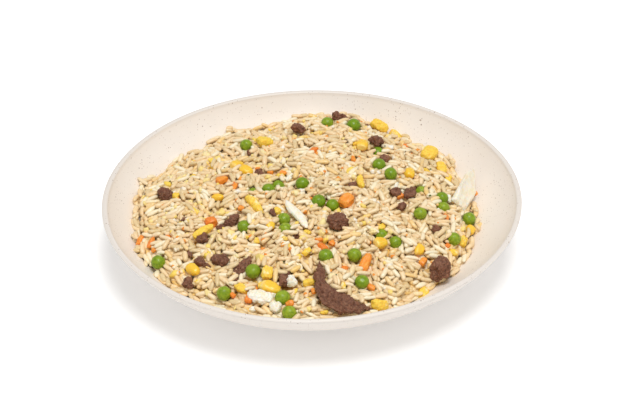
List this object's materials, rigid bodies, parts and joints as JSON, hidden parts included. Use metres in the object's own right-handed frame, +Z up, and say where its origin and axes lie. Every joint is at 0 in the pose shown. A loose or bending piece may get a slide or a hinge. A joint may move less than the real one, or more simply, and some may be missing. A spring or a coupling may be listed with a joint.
{
  "type": "plate of meat pilaf",
  "caption": "Deep oval stoneware plate filled with long-grain rice, with peas, sweetcorn, diced carrot, egg and small pieces of beef lying in its top.",
  "frame": {"origin": "under the middle of the plate's outline, on the table it stands on", "axes": "+X across the plate's greatest width, to the right in the picture; +Y away from the viewer; +Z up"},
  "size_m": [0.2568, 0.237, 0.0465],
  "materials": {
    "stoneware": "satin glaze, cream, finely speckled",
    "rice": "moist, slightly translucent",
    "pea": "moist, satin",
    "corn": "moist, satin",
    "egg_yolk": "soft, crumbly",
    "beef": "fibrous, matte with moist glints",
    "carrot": "moist, satin",
    "egg_white": "smooth, moist"
  },
  "bodies": {
    "root": {"plate": "stoneware", "rice": "rice", "pea_01": "pea", "pea_02": "pea", "pea_03": "pea", "pea_04": "pea", "pea_05": "pea", "pea_06": "pea", "pea_07": "pea", "pea_08": "pea", "pea_09": "pea", "pea_10": "pea", "pea_11": "pea", "pea_12": "pea", "pea_13": "pea", "pea_14": "pea", "pea_15": "pea", "pea_16": "pea", "pea_17": "pea", "pea_18": "pea", "pea_19": "pea", "pea_20": "pea", "pea_21": "pea", "pea_22": "pea", "pea_23": "pea", "pea_24": "pea", "corn_01": "corn", "corn_02": "corn", "corn_03": "corn", "corn_04": "corn", "corn_05": "corn", "corn_06": "corn", "corn_07": "corn", "egg_yellow_01": "egg_yolk", "egg_yellow_02": "egg_yolk", "egg_yellow_03": "egg_yolk", "egg_yellow_04": "egg_yolk", "egg_yellow_05": "egg_yolk", "egg_yellow_06": "egg_yolk", "egg_yellow_07": "egg_yolk", "beef_01": "beef", "beef_02": "beef", "beef_03": "beef", "beef_04": "beef", "beef_05": "beef", "beef_06": "beef", "beef_07": "beef", "beef_08": "beef", "beef_09": "beef", "beef_10": "beef", "beef_11": "beef", "big_beef_01": "beef", "big_beef_02": "beef", "beef_slice": "beef", "carrot_01": "carrot", "carrot_02": "carrot", "carrot_03": "carrot", "egg_white_01": "egg_white", "egg_white_strip": "egg_white", "egg_white_flake": "egg_white"}
  },
  "joints": []
}
